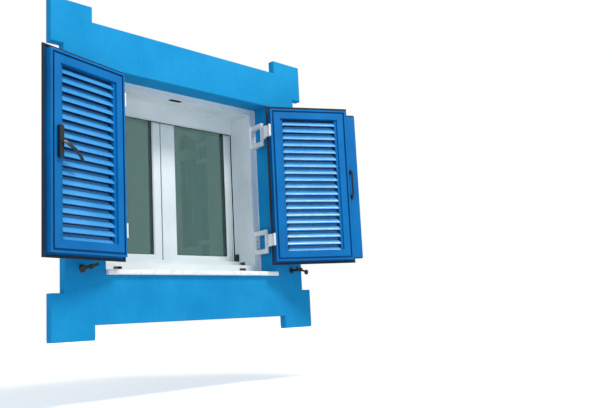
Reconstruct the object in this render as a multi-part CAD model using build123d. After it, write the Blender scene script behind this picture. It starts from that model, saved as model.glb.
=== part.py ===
from build123d import *
import os
from math import cos, hypot, radians, sin

os.makedirs("parts", exist_ok=True)

# A casement window with a pair of louvred outside shutters, its deep frame, its sill
# and the raised plaster surround that is painted round it.
# X runs to the right seen from outside, Y runs into the wall and Z runs up.
# The wall's outer face is Y = 0, and Z = 0 is half-way up the surround.
# Everything on a shutter is drawn closed and on the right, then mirrored and swung open.

# Shutter leaf, measured on the lip that frames its inside face
leaf_width = 496.0
leaf_height = 988.0
leaf_top = 516.0
leaf_depth = 44.0
meeting_half_gap = 61.5
lip_width = 44.0
lip_thickness = 2.0
groove_mouth = 11.0
groove_width = 20.0
groove_depth = 12.0
rib_width = 11.0
rib_setback = 0.8
wing_reach = 23.0
wing_thickness = 3.5
wall = 2.0
corner_break = 1.2
round_sides = 12
left_open_angle = 165.0
right_open_angle = 150.3
full_open_angle = 180.0

# Louvre blades
slat_pitch = 48.0
slat_drop = 28.0
slat_rise = 28.0
slat_run = 24.0
slat_radius = 4.0
slat_nose = 1.8
slat_camber = 3.0
slat_setback = 10.0
slat_upstand = 26.0
slat_upstand_thickness = 3.0
comb_width = 18.0
comb_depth = 29.0
comb_setback = 12.0

# Seals between a leaf and the frame
seal_gap = 9.5
seal_clearance = 0.5
seal_width = 12.5
seal_edge = 0.5

# Shutter frame, the outermost of the three frames
jamb_overlap = 4.5
head_overlap = 8.0
foot_overlap = 17.0
jamb_strip = 54.0
head_strip = 39.0
foot_strip = 45.0
plaster_cover = 20.0
reveal_depth = 96.0
shutter_frame_depth = 100.0
profile_wall = 4.0
flute_width = 3.0
flute_depth = 2.0
flute_places = (39.0, 78.0)
drain_length = 60.0
drain_height = 16.0
drain_rise = 17.0
drain_spacing = 485.0
drain_corner = 5.0

# Screen frame, cassette and pull bar
screen_frame_depth = 120.0
head_groove_width = 12.0
head_groove_depth = 6.0
foot_upstand = 40.0
upstand_place = 54.0
guide_place = 98.0
guide_width = 12.0
guide_depth = 24.0
cassette_place = 87.0
cassette_depth = 31.0
cassette_height = 98.0
cassette_wall = 1.6
cassette_slot = 16.0
cassette_end = 4.0
cassette_gap = 1.0
roll_radius = 12.0
roll_drop = 31.0
bar_clearance = 0.2
bar_height = 22.0
bar_drop = 4.0
bar_engagement = 18.0
stop_height = 50.0
stop_depth = 40.0
stop_width = 13.0
stop_setback = 1.0

# Window frame and sashes
window_frame_depth = 54.0
sash_face_gap = 4.0
sash_depth = 60.0
sash_visible = 59.0
sash_lap = 14.0
sash_lap_thickness = 8.0
sash_wall = 3.0
sash_bevel = 6.0
sash_bevel_depth = 7.0
sash_side_gap = 4.0
sash_behind_lip = 16.0
sash_head_lap = 12.0
sash_foot_lap = 18.0
meeting_gap = 9.0
mullion_width = 56.5
mullion_depth = 50.0
glass_thickness = 24.0
glass_edge = 11.0
rebate = 14.0
rebate_lip = 10.0
glazing_seal = 2.0
seal_lip = 4.0
bead_lip = 3.0
bead_foot = 5.0
bead_bevel = 8.0

# Painted surround and sill
side_band = 250.0
top_band = 258.0
bottom_band = 269.0
surround_thickness = 50.0
ear_step = 75.0
ear_width = 255.0
top_ear_rise = 90.0
top_ear_height = 257.0
bottom_ear_drop = 81.0
bottom_ear_height = 254.0
plaster_arris = 4.0
sill_thickness = 36.0
sill_fall = 8.0
sill_nose = 25.0
sill_nose_radius = 7.0
sill_joint = 1.0
drip_width = 6.0
drip_place = 9.0
drip_depth = 5.0

# Shutter hinges
pin_offset = 3.5
pin_reach = 116.0
pin_radius = 6.0
pin_proud = 1.5
running_clearance = 0.08
face_clearance = 0.3
boss_radius = 12.0
hinge_height = 158.0
knuckle_height = 98.0
arm_height = 80.0
arm_thickness = 14.0
arm_foot_thickness = 13.0
arm_end_inset = 3.0
arm_crank = 20.0
arm_crank_ease = 4.0
base_width = 42.0
base_thickness = 5.0
web_inset = 6.0
web_end_inset = 2.0
web_taper = 3.0
web_half = 11.6
hinge_inset = 124.0
notch_clearance = 1.0
screw_radius = 4.5
screw_height = 2.7
bracket_screw_pitch = 25.0

# Cremone bolt on the left leaf
cremone_inset = 30.0
cremone_width = 26.0
cremone_height = 165.0
cremone_proud = 24.0
cremone_z = 60.0
cremone_bevel = 3.0
lever_rest_angle = 35.0
lever_length = 152.0
lever_arch = 20.0
lever_thickness = 9.0
lever_width = 18.0
lever_bevel = 2.0
lever_boss_radius = 11.0
lever_boss_height = 4.0
rod_width = 14.0
rod_thickness = 6.0
rod_setback = 5.0
rod_centre_gap = 60.0
rod_hole_clearance = 1.0
top_rod_proud = 7.0
bottom_rod_proud = 3.0
keeper_length = 86.0
keeper_slot = 26.0
keeper_rim = 5.0
keeper_plate = 2.0
keeper_wall = 2.0
keeper_depth = 26.0
keeper_corner = 9.0
keeper_offset = 24.0

# Meeting profile and pull handle on the right leaf
flange_reach = 72.5
flange_thickness = 10.0
flange_top_drop = 4.0
flange_bottom_rise = 18.0
flange_cap = 8.0
flange_cap_edge = 0.5
pull_height = 205.0
pull_stand = 32.0
pull_radius = 6.5
pull_bend = 16.0
pull_inset = 18.0
pull_pad_width = 24.0
pull_pad_height = 30.0
pull_pad_thickness = 4.0
pull_pad_bevel = 5.0
pull_z = 20.0

# Holdbacks in the surround below the leaves
holdback_reach = 194.0
holdback_drop = 28.0
rosette_radius = 18.0
rosette_thickness = 6.0
post_radius = 8.0
spigot_radius = 6.0
post_head_radius = 10.0
post_head = 4.0
nut_sides = 6
catch_standoff = 138.0
catch_thickness = 6.0
catch_hub = 14.0
catch_nose = 48.0
catch_nose_width = 16.0
catch_leg = 54.0
catch_leg_width = 12.0
catch_corner = 8.0
catch_weight = 32.0
catch_tilt = 72.0

# Sash hinges and inside handle
sash_pivot_out = 8.0
sash_pivot_in = 6.5
barrel_radius = 6.5
barrel_height = 96.0
sash_pin_radius = 3.5
sash_leaf_thickness = 3.0
sash_leaf_width = 30.0
sash_hinge_inset = 100.0
sash_pin_engagement = 44.0
sash_bore_spare = 1.0
handle_plate_width = 30.0
handle_plate_height = 150.0
handle_plate_thickness = 8.0
handle_boss = 12.0
handle_neck = 9.0
handle_bevel = 5.0
handle_length = 125.0
handle_width = 20.0
handle_thickness = 12.0

# How far a bar's mitre cut runs past its inner and outer edges, as shares of its width
mitre_inside = 0.5
mitre_outside = 1.5

# Places worked out from the sizes above
wing_out = groove_mouth + rib_width + wing_reach
hinge_edge = meeting_half_gap + leaf_width
leaf_bottom = leaf_top - leaf_height
wing_edge = hinge_edge + wing_out
jamb_return = wing_edge - jamb_overlap
frame_head = leaf_top + wing_out - head_overlap
frame_foot = leaf_bottom - wing_out + foot_overlap
opening_half = jamb_return + jamb_strip
opening_top = frame_head + head_strip
sill_top = frame_foot - foot_strip
sill_bottom = sill_top - sill_thickness
surround_half = opening_half + side_band
surround_top = opening_top + top_band
surround_bottom = sill_bottom - bottom_band
frame_face = reveal_depth
leaf_face = frame_face - seal_gap + leaf_depth - wing_thickness
leaf_back = leaf_face - leaf_depth
pin_x = wing_edge + pin_offset
pin_y = frame_face - pin_reach
louvre_left = meeting_half_gap + lip_width
louvre_right = hinge_edge - lip_width
louvre_bottom = leaf_bottom + lip_width
louvre_top = leaf_top - lip_width
body_reach = lip_width + groove_mouth + rib_width
wing_total = lip_width + wing_out
screen_face = frame_face + shutter_frame_depth
window_face = screen_face + screen_frame_depth
window_back = window_face + window_frame_depth
sash_face = window_face + sash_face_gap
sash_back = sash_face + sash_depth
sash_outer = jamb_return + sash_behind_lip
sash_head = frame_head + sash_head_lap
screen_foot = frame_foot + foot_upstand
sash_foot = screen_foot - sash_foot_lap
frame_half = opening_half + plaster_cover
frame_top = opening_top + plaster_cover
frame_bottom = sill_bottom - plaster_cover
hinge_heights = (leaf_top - hinge_inset, leaf_bottom + hinge_inset)
slat_count = int((louvre_top - louvre_bottom - slat_drop + slat_rise / 2) / slat_pitch) + 1
holdback_x = pin_x + holdback_reach
holdback_z = leaf_bottom - wing_out - holdback_drop

NODES = {}


def band(u0, u1, v0, v1):
    """A rectangle between two limits on each local axis."""
    return Pos((u0 + u1) / 2, (v0 + v1) / 2) * Rectangle(u1 - u0, v1 - v0)


def block(x0, x1, y0, y1, z0, z1):
    """A box between two limits on each axis."""
    centre = Pos((x0 + x1) / 2, (y0 + y1) / 2, (z0 + z1) / 2)
    return centre * Box(x1 - x0, y1 - y0, z1 - z0)


def outline(*points):
    """A flat face with straight sides."""
    return make_face(Polyline(*points, close=True))


def rounded(face, *corners):
    """Round the corners of a face that lie at the given points."""
    for u, v, radius in corners:
        vertex = min(face.vertices(), key=lambda p: hypot(p.X - u, p.Y - v))
        face = fillet(vertex, radius)
    return face


def bevelled(face, *corners):
    """Break the sharp corners of a face that lie at the given points."""
    for u, v in corners:
        vertex = min(face.vertices(), key=lambda p: hypot(p.X - u, p.Y - v))
        face = chamfer(vertex, corner_break)
    return face


def plan(face, z0, z1):
    """Raise a face drawn in plan between two heights."""
    return Pos(0, 0, z0) * extrude(face, z1 - z0)


def bar_plane(side, rect):
    """The section plane of one side of a ring: local x points outward, local y into the wall."""
    x0, x1, z0, z1 = rect
    cx, cz = (x0 + x1) / 2, (z0 + z1) / 2
    planes = {
        "head": ((cx, 0, z1), (0, 0, 1), (-1, 0, 0)),
        "foot": ((cx, 0, z0), (0, 0, -1), (1, 0, 0)),
        "left": ((x0, 0, cz), (-1, 0, 0), (0, 0, -1)),
        "right": ((x1, 0, cz), (1, 0, 0), (0, 0, 1)),
    }
    origin, outward, along = planes[side]
    return Plane(origin=origin, x_dir=outward, z_dir=along)


def mitred_bar(section, side, rect, widths):
    """One side of a rectangular ring, mitred to bars of the given widths: left, right, foot, head."""
    x0, x1, z0, z1 = rect
    left, right, foot, head = widths
    inside, outside = -mitre_inside, mitre_outside

    def corner(x, z, k):
        dx = -left * k if x == x0 else right * k
        dz = -foot * k if z == z0 else head * k
        return (x + dx, 0, z + dz)

    ends = {
        "head": ((x0, z1), (x1, z1)),
        "foot": ((x0, z0), (x1, z0)),
        "left": ((x0, z0), (x0, z1)),
        "right": ((x1, z0), (x1, z1)),
    }
    a, b = ends[side]
    wedge = outline(corner(*a, inside), corner(*b, inside), corner(*b, outside), corner(*a, outside))
    half_span = max(x1 - x0, z1 - z0) / 2 + 2 * max(widths)
    solid = extrude(bar_plane(side, rect) * section, half_span, both=True)
    return solid & extrude(wedge, 2 * window_back, dir=(0, 1, 0), both=True)


def ring(section, rect, widths):
    """Four mitred bars joined into one frame."""
    bars = [mitred_bar(section, side, rect, widths) for side in ("head", "foot", "left", "right")]
    return bars[0] + bars[1:]


def keep(name, shape):
    """Store a sub-part under its node name."""
    NODES[name] = shape


def swing(shape, hand):
    """Put a piece that is drawn closed on the right onto its leaf, at the angle the leaf rests at."""
    if hand < 0:
        shape = mirror(shape, about=Plane.YZ)
    angle = right_open_angle if hand > 0 else left_open_angle
    return shape.rotate(Axis((hand * pin_x, pin_y, 0), (0, 0, 1)), hand * angle)


def surround():
    """The raised plaster band with its four stepped corners, and the lining of the reveal."""
    ear = surround_half + ear_step
    inner = ear - ear_width
    top, bottom = surround_top + top_ear_rise, surround_bottom - bottom_ear_drop
    top_foot, bottom_head = top - top_ear_height, bottom + bottom_ear_height
    right = [(inner, surround_top), (inner, top), (ear, top), (ear, top_foot), (surround_half, top_foot)]
    right += [(surround_half, bottom_head), (ear, bottom_head), (ear, bottom), (inner, bottom)]
    right += [(inner, surround_bottom)]
    left = [(-x, z) for x, z in reversed(right)]
    face = outline(*[(x, 0, z) for x, z in right + left])
    hole = block(-opening_half, opening_half, -reveal_depth, reveal_depth, sill_bottom, opening_top)
    front = extrude(face, surround_thickness, dir=(0, -1, 0)) - hole
    front = chamfer(front.edges().group_by(Axis.Y)[0], plaster_arris)
    lining = block(-frame_half, frame_half, 0, reveal_depth, frame_bottom, frame_top)
    return front + (lining - hole)


def sill():
    """A stone sill that falls to a rounded nose with a drip groove under it."""
    nose = -surround_thickness - sill_nose
    nose_top = sill_top - sill_fall
    face = outline((nose, sill_bottom), (frame_face, sill_bottom), (frame_face, sill_top), (nose, nose_top))
    face = rounded(face, (nose, nose_top, sill_nose_radius), (nose, sill_bottom, sill_nose_radius))
    drip = nose + drip_place
    face -= band(drip, drip + drip_width, sill_bottom, sill_bottom + drip_depth)
    return extrude(Plane.YZ * face, opening_half - sill_joint, both=True)


def shutter_frame():
    """The outermost frame: four hollow bars with a flat strip in front and two flutes in the return."""
    rect = (-jamb_return, jamb_return, frame_foot, frame_head)
    widths = {
        "left": frame_half - jamb_return,
        "right": frame_half - jamb_return,
        "foot": frame_foot - frame_bottom,
        "head": frame_top - frame_head,
    }
    front, back = frame_face, frame_face + shutter_frame_depth
    middle = (front + back) / 2
    bars = {}
    for side, width in widths.items():
        section = band(0, width, front, back)
        for place in flute_places:
            section -= band(0, flute_depth, front + place, front + place + flute_width)
        inner = width - profile_wall
        section -= band(profile_wall, inner, front + profile_wall, middle - profile_wall / 2)
        section -= band(profile_wall, inner, middle + profile_wall / 2, back - profile_wall)
        bars[side] = mitred_bar(section, side, rect, tuple(widths.values()))
    slot = Rectangle(drain_length, drain_height)
    slot = chamfer(slot.vertices(), drain_corner)
    for x in (-drain_spacing, drain_spacing):
        z = sill_top + drain_rise
        bars["foot"] -= extrude(Plane((x, front, z), x_dir=(1, 0, 0), z_dir=(0, 1, 0)) * slot, profile_wall)
    for side, z, up in (("head", frame_head, 1), ("foot", frame_foot, -1)):
        bars[side] -= keeper_body(z, up, solid=True)
    return bars


def keeper_plane(z, up):
    """The plane of a keeper's face, over the rod of the closed left leaf."""
    y = leaf_face - rod_setback - rod_thickness / 2
    return Plane((-keeper_offset, y, z), x_dir=(1, 0, 0), z_dir=(0, 0, up))


def keeper_body(z, up, solid=False):
    """A flush plate with a deep slot in it, which takes the end of a rod."""
    plane = keeper_plane(z, up)
    rim = 2 * keeper_rim
    plate = Rectangle(keeper_length + rim, keeper_slot + rim)
    body = extrude(plane * chamfer(plate.vertices(), keeper_corner), keeper_plate)
    cup = extrude(plane * Rectangle(keeper_length + 2 * keeper_wall, keeper_slot + 2 * keeper_wall),
                  keeper_depth)
    if solid:
        return body + cup
    slot = Rectangle(keeper_length, keeper_slot)
    hollow = extrude(plane * chamfer(slot.vertices(), keeper_corner), keeper_depth - keeper_wall)
    return body + cup - hollow


def screen_frame():
    """The middle frame: jambs with a guide slot for the insect screen and a low upstand below."""
    rect = (-jamb_return, jamb_return, screen_foot, frame_head)
    side_width = frame_half - jamb_return
    foot_width = screen_foot - frame_bottom
    head_width = frame_top - frame_head
    widths = (side_width, side_width, foot_width, head_width)
    front, back = screen_face, window_face
    guide = front + guide_place
    bars = []
    for side, width in (("left", side_width), ("right", side_width)):
        section = band(0, width, front, back) - band(0, guide_depth, guide, guide + guide_width)
        section -= band(profile_wall, width - profile_wall, front + profile_wall, guide - profile_wall)
        bars.append(mitred_bar(section, side, rect, widths))
    head = band(0, head_width, front, back) - band(0, head_groove_depth, front, front + head_groove_width)
    bars.append(mitred_bar(head, "head", rect, widths))
    foot = band(0, foot_width, front, back) - band(0, foot_upstand, front, front + upstand_place)
    bars.append(mitred_bar(foot, "foot", rect, widths))
    return bars[0] + bars[1:]


def window_frame():
    """The innermost frame, which the sashes close against."""
    gap = sash_side_gap
    rect = (-sash_outer - gap, sash_outer + gap, sash_foot - gap, sash_head + gap)
    side = frame_half - rect[1]
    widths = (side, side, rect[2] - frame_bottom, frame_top - rect[3])
    bars = []
    for name, width in zip(("left", "right", "foot", "head"), widths):
        section = band(0, width, window_face, window_back)
        section -= band(profile_wall, width - profile_wall, window_face + profile_wall,
                        window_back - profile_wall)
        bars.append(mitred_bar(section, name, rect, widths))
    return bars[0] + bars[1:]


def screen_parts():
    """The insect screen's cassette, its roll, its pull bar and the two stops at the foot."""
    y0 = screen_face + cassette_place
    y1 = y0 + cassette_depth
    z0 = frame_head - cassette_height
    ends = jamb_return - 2 * cassette_gap
    centre = screen_face + guide_place + guide_width / 2
    skin = cassette_wall
    case = block(-ends, ends, y0, y1, z0, frame_head)
    case -= block(-ends, ends, y0 + skin, y1 - skin, z0 + skin, frame_head - skin)
    case -= block(-ends, ends, centre - cassette_slot / 2, centre + cassette_slot / 2, z0, z0 + skin)
    cap_z = z0 + bar_height + skin
    for hand in (-1, 1):
        inner, outer = sorted((hand * (ends - cassette_end), hand * ends))
        case += block(inner, outer, y0, y1, cap_z, frame_head)
    keep("screen_cassette", case)
    length = 2 * (ends - cassette_end) - 2 * face_clearance
    roll = Pos(0, (y0 + y1) / 2, frame_head - roll_drop) * Rot(0, 90, 0) * Cylinder(roll_radius, length)
    keep("screen_roll", roll)
    reach = jamb_return + bar_engagement
    bar_foot = z0 - bar_drop
    half = guide_width / 2 - bar_clearance
    keep("screen_pull_bar", block(-reach, reach, centre - half, centre + half, bar_foot, bar_foot + bar_height))
    stops = []
    for hand in (-1, 1):
        x0, x1 = sorted((hand * (jamb_return - stop_width), hand * jamb_return))
        back = screen_face + guide_place - stop_setback
        stops.append(block(x0, x1, back - stop_depth, back, screen_foot, screen_foot + stop_height))
    keep("screen_end_stops", Compound(stops))


def leaf_section():
    """The hollow shutter profile: lip, fitting groove, rib, side wall and closing wing."""
    lip, mouth = lip_width, groove_mouth
    side = (groove_width - mouth) / 2
    floor = lip_thickness + groove_depth
    wing = leaf_depth - wing_thickness
    points = [(0, 0), (lip, 0), (lip, lip_thickness), (lip - side, lip_thickness), (lip - side, floor)]
    points += [(lip + mouth + side, floor), (lip + mouth + side, lip_thickness)]
    points += [(lip + mouth, lip_thickness), (lip + mouth, rib_setback), (body_reach, rib_setback)]
    points += [(body_reach, wing), (wing_total, wing), (wing_total, leaf_depth), (0, leaf_depth)]
    face = outline(*[(u, leaf_face - t) for u, t in points])
    face = bevelled(face, (0, leaf_face), (lip, leaf_face), (wing_total, leaf_back))
    first = lip - side - wall
    face -= band(wall, first, leaf_back + wall, leaf_face - wall)
    face -= band(first + wall, body_reach - wall, leaf_back + wall, leaf_face - floor - wall)
    return face


def hinge_notches():
    """The gaps in the wing and seal of the hinge stile that let the hinge arms through."""
    half = arm_height / 2 + notch_clearance
    x0 = hinge_edge + groove_mouth + rib_width
    wing = leaf_back + wing_thickness + seal_gap
    return [block(x0, wing_edge + 1, leaf_back - 1, wing, z - half, z + half) for z in hinge_heights]


def leaf_bars():
    """The four mitred bars of a leaf, closed on the right."""
    rect = (louvre_left, louvre_right, louvre_bottom, louvre_top)
    section = leaf_section()
    widths = (wing_total,) * 4
    names = {"head": "top_rail", "foot": "bottom_rail", "left": "free_stile", "right": "hinge_stile"}
    bars = {name: mitred_bar(section, side, rect, widths) for side, name in names.items()}
    bars["hinge_stile"] -= hinge_notches()
    return bars


def slat_section():
    """A cambered blade, low towards the room, with an upstand at its back that closes the view."""
    length = hypot(slat_run, slat_rise)
    along = Vector(-slat_run / length, slat_rise / length)
    normal = Vector(slat_rise / length, slat_run / length)
    start = Vector(leaf_face - slat_setback - slat_radius, -slat_rise / 2)
    end = start + along * length
    middle = (start + end) * 0.5
    r, nose = slat_radius, slat_nose
    front = ThreePointArc(start + normal * r, middle + normal * (r + slat_camber), end + normal * r)
    back = Line(end - normal * r, start - normal * r)
    upper = Polyline(end + normal * r, end + along * r + normal * nose, end + along * r - normal * nose,
                     end - normal * r)
    lower = Polyline(start - normal * r, start - along * r - normal * nose,
                     start - along * r + normal * nose, start + normal * r)
    blade = make_face([front, upper, back, lower])
    half = slat_upstand_thickness / 2
    return blade + band(end.X - half, end.X + half, end.Y, end.Y + slat_upstand)


def slats():
    """The blades between the two combs; the rails cut off what stands past the opening."""
    x0, x1 = louvre_left + comb_width, louvre_right - comb_width
    blade = Pos((x0 + x1) / 2, 0, 0) * extrude(Plane.YZ * slat_section(), (x1 - x0) / 2, both=True)
    opening = block(x0, x1, leaf_back, leaf_face, louvre_bottom, louvre_top)
    first = louvre_top - slat_drop
    blades = [Pos(0, 0, first - slat_pitch * k) * blade for k in range(slat_count)]
    blades[0] = blades[0] & opening
    blades[-1] = blades[-1] & opening
    return Compound(solids_of(blades))


def combs():
    """The two strips inside the stiles that hold the blades' ends."""
    back = leaf_face - comb_setback
    spans = ((louvre_left, louvre_left + comb_width), (louvre_right - comb_width, louvre_right))
    return Compound([block(x0, x1, back - comb_depth, back, louvre_bottom, louvre_top) for x0, x1 in spans])


def leaf_seal(sides):
    """The rubber seal on the inner face of the wing."""
    rect = (louvre_left, louvre_right, louvre_bottom, louvre_top)
    inner = leaf_back + wing_thickness
    height = seal_gap - seal_clearance
    edge = wing_total - seal_edge
    base = band(edge - seal_width, edge, inner, inner + height)
    crown = inner + height
    base = bevelled(base, (edge - seal_width, crown), (edge, crown))
    bars = [mitred_bar(base, side, rect, (wing_total,) * 4) for side in sides]
    return bars[0] + bars[1:] - hinge_notches()


def hinge_arm(z):
    """The moving half of a shutter hinge: knuckle and cranked arm along the stile's side."""
    half = arm_thickness / 2
    side_wall = hinge_edge + groove_mouth + rib_width
    foot = side_wall + arm_foot_thickness
    end = leaf_face - arm_end_inset
    crank, ease = leaf_back - arm_crank, arm_crank_ease
    points = [(pin_x - half, pin_y), (pin_x + half, pin_y), (pin_x + half, crank), (foot, leaf_back + ease)]
    points += [(foot, end), (side_wall, end), (side_wall, leaf_back - ease), (pin_x - half, crank - arm_crank)]
    arm = plan(outline(*points), z - arm_height / 2, z + arm_height / 2)
    knuckle = Pos(pin_x, pin_y, z) * Cylinder(boss_radius, knuckle_height)
    bore = Pos(pin_x, pin_y, z) * Cylinder(pin_radius + running_clearance, knuckle_height)
    return arm + knuckle - bore


def screw(seat):
    """A hexagon screw head on its seat."""
    return extrude(seat * RegularPolygon(screw_radius, nut_sides), screw_height)


def arm_screws():
    """The screws that fasten the hinge arms to the stile."""
    x = hinge_edge + groove_mouth + rib_width + arm_foot_thickness
    y = (leaf_back + leaf_face) / 2 + arm_end_inset
    heads = []
    for z in hinge_heights:
        for dz in (-arm_height / 3, arm_height / 3):
            seat = Plane((x, y, z + dz), x_dir=(0, 1, 0), z_dir=(1, 0, 0))
            heads.append(screw(seat))
    return Compound(heads)


def hinge_bracket(z):
    """The fixed half of a shutter hinge: a base plate with two long arms that carry the pin."""
    root_y = frame_face - base_thickness
    half, gap = hinge_height / 2, knuckle_height / 2 + face_clearance
    plate = block(pin_x, pin_x + base_width, root_y, frame_face, z - half, z + half)
    near, far = pin_x + web_inset, pin_x + base_width - web_end_inset
    web = outline((pin_x - web_half, pin_y + web_taper), (pin_x + web_half, pin_y - web_taper),
                  (far, root_y), (near, root_y))
    web += Pos(pin_x, pin_y) * Circle(boss_radius)
    arms = plan(web, z + gap, z + half) + plan(web, z - half, z - gap)
    bore = Pos(pin_x, pin_y, z) * Cylinder(pin_radius, hinge_height)
    return plate + arms - bore


def bracket_screws():
    """The screws of the four fixed brackets."""
    heads = []
    x = pin_x + base_width / 2
    y = frame_face - base_thickness
    for hand in (-1, 1):
        for z in hinge_heights:
            for step in (-1.5, -0.5, 0.5, 1.5):
                place = (hand * x, y, z + step * bracket_screw_pitch)
                heads.append(screw(Plane(place, x_dir=(1, 0, 0), z_dir=(0, -1, 0))))
    return Compound(heads)


def hinge_pins():
    """The four hinge pins, which stand a little proud of the brackets' arms."""
    pins = []
    for hand in (-1, 1):
        for z in hinge_heights:
            pins.append(Pos(hand * pin_x, pin_y, z) * Cylinder(pin_radius, hinge_height + 2 * pin_proud))
    return Compound(pins)


def cremone_plate():
    """The slim housing of the cremone on the lip of the left leaf's free stile."""
    x = meeting_half_gap + cremone_inset
    face = Plane((x, leaf_face, cremone_z), x_dir=(1, 0, 0), z_dir=(0, 1, 0))
    outline_face = face * Rectangle(cremone_width, cremone_height)
    body = extrude(chamfer(outline_face.vertices(), cremone_bevel), cremone_proud)
    return chamfer(body.edges().group_by(Axis.Y)[-1], cremone_bevel)


def cremone_lever():
    """The arched lever, turned down from the level by its rest angle."""
    x = meeting_half_gap + cremone_inset
    base = leaf_face + cremone_proud
    t = lever_thickness
    y0 = base + lever_boss_height + t
    length = lever_length
    low = ThreePointArc((0, y0 - t), (length / 2, y0 + lever_arch - t), (length, y0 - t / 2))
    high = ThreePointArc((0, y0), (length / 2, y0 + lever_arch), (length, y0 + t / 2))
    ends = [Line((0, y0 - t), (0, y0)), Line((length, y0 - t / 2), (length, y0 + t / 2))]
    grip = extrude(make_face([low, high] + ends), lever_width / 2, both=True)
    grip = chamfer(grip.edges().filter_by(GeomType.CIRCLE), lever_bevel)
    gap = face_clearance
    boss = Plane((0, base + gap, 0), x_dir=(1, 0, 0), z_dir=(0, 1, 0)) * Circle(lever_boss_radius)
    lever = grip + extrude(boss, lever_boss_height - gap)
    return Pos(x, 0, cremone_z) * lever.rotate(Axis.Y, lever_rest_angle)


def cremone_rods():
    """The two rods in the groove of the left leaf's free stile."""
    x = meeting_half_gap - groove_mouth / 2
    y1 = leaf_face - rod_setback
    top = leaf_top + groove_mouth + rib_width + top_rod_proud
    bottom = leaf_bottom - groove_mouth - rib_width - bottom_rod_proud
    half = rod_width / 2
    upper = block(x - half, x + half, y1 - rod_thickness, y1, cremone_z + rod_centre_gap, top)
    lower = block(x - half, x + half, y1 - rod_thickness, y1, bottom, cremone_z - rod_centre_gap)
    return upper, lower


def rod_holes():
    """The holes in the ribs of the left leaf's rails that the rods pass through."""
    x = meeting_half_gap - groove_mouth / 2
    y1 = leaf_face - rod_setback
    half = rod_width / 2 + rod_hole_clearance
    y0 = y1 - rod_thickness - rod_hole_clearance
    rib = groove_mouth + rib_width + 1
    top = block(x - half, x + half, y0, y1 + rod_hole_clearance, leaf_top, leaf_top + rib)
    bottom = block(x - half, x + half, y0, y1 + rod_hole_clearance, leaf_bottom - rib, leaf_bottom)
    return top, bottom


def meeting_flange():
    """The flat profile on the right leaf that the left leaf closes over, with its two end caps."""
    x1 = meeting_half_gap - groove_mouth - rib_width
    x0 = x1 - flange_reach
    back = frame_face
    z0, z1 = leaf_bottom - flange_bottom_rise, leaf_top - flange_top_drop
    core = block(x0, x1, back, back + flange_thickness, z0 + flange_cap, z1 - flange_cap)
    core -= block(x0 + wall, x1 - wall, back + wall, back + flange_thickness - wall, z0, z1)
    caps = []
    for low, high, corner_z in ((z0, z0 + flange_cap, z0), (z1 - flange_cap, z1, z1)):
        cap = block(x0, x1, back, back + flange_thickness, low, high)
        corner = cap.edges().filter_by(Axis.Y).sort_by(lambda e: hypot(e.center().X - x0,
                                                                       e.center().Z - corner_z))[0]
        caps.append(chamfer(corner, flange_cap - flange_cap_edge))
    return core, Compound([solid for cap in caps for solid in cap.solids()])


def pull_handle():
    """The bow handle on the meeting profile."""
    x = meeting_half_gap - groove_mouth - rib_width - pull_inset
    y0 = frame_face + flange_thickness
    y1 = y0 + pull_stand
    half, bend = pull_height / 2 - pull_pad_height / 2, pull_bend
    upper = [(x, y0, pull_z + half), (x, y1 - bend, pull_z + half), (x, y1, pull_z + half - bend)]
    lower = [(x, y, 2 * pull_z - z) for x, y, z in reversed(upper)]
    path = Polyline(*upper, *lower)
    start = Plane(path @ 0, z_dir=path % 0)
    bow = sweep(start * RegularPolygon(pull_radius, round_sides), path, transition=Transition.RIGHT)
    for end in (-1, 1):
        pad = Plane((x, y0, pull_z + end * half), x_dir=(1, 0, 0), z_dir=(0, 1, 0))
        foot = extrude(pad * Rectangle(pull_pad_width, pull_pad_height), pull_pad_thickness)
        bow += chamfer(foot.edges().filter_by(Axis.Y), pull_pad_bevel)
    return bow


def holdback_post(hand):
    """The rosette and stepped post that carry a catch in front of the surround."""
    front = -surround_thickness
    shoulder = -catch_standoff + face_clearance
    catch_end = -catch_standoff - catch_thickness - face_clearance

    def disc(face, y0, y1):
        plane = Plane((hand * holdback_x, y0, holdback_z), x_dir=(1, 0, 0), z_dir=(0, -1, 0))
        return extrude(plane * face, y0 - y1)

    post = disc(Circle(rosette_radius), front, front - rosette_thickness)
    post += disc(RegularPolygon(post_radius, round_sides), front - rosette_thickness, shoulder)
    post += disc(Circle(spigot_radius), shoulder, catch_end - post_head)
    return post + disc(RegularPolygon(post_head_radius, nut_sides), catch_end, catch_end - post_head)


def bevelled_end(half, reach):
    """A strip from the origin up to its reach, with the two corners of its end cut off."""
    cut = half / 2
    return outline((-half, 0), (half, 0), (half, reach - cut), (half - cut, reach), (cut - half, reach),
                   (-half, reach - cut))


def holdback_catch(hand):
    """The turning catch: a nose that holds the leaf and a weighted leg, tipped out of the leaf's way."""
    plane = Plane((0, -catch_standoff, 0), x_dir=(1, 0, 0), z_dir=(0, -1, 0))
    half = catch_nose_width / 2
    nose = bevelled_end(half, catch_nose)
    leg = band(-catch_leg_width / 2, catch_leg_width / 2, -catch_leg, 0)
    weight = Rectangle(catch_weight, catch_weight)
    weight = Pos(0, -catch_leg) * chamfer(weight.vertices(), catch_corner)
    face = nose + leg + weight + Circle(catch_hub) - Circle(spigot_radius + running_clearance)
    catch = extrude(plane * face, catch_thickness)
    catch = catch.rotate(Axis.Y, -hand * catch_tilt)
    return Pos(hand * holdback_x, 0, holdback_z) * catch


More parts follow.
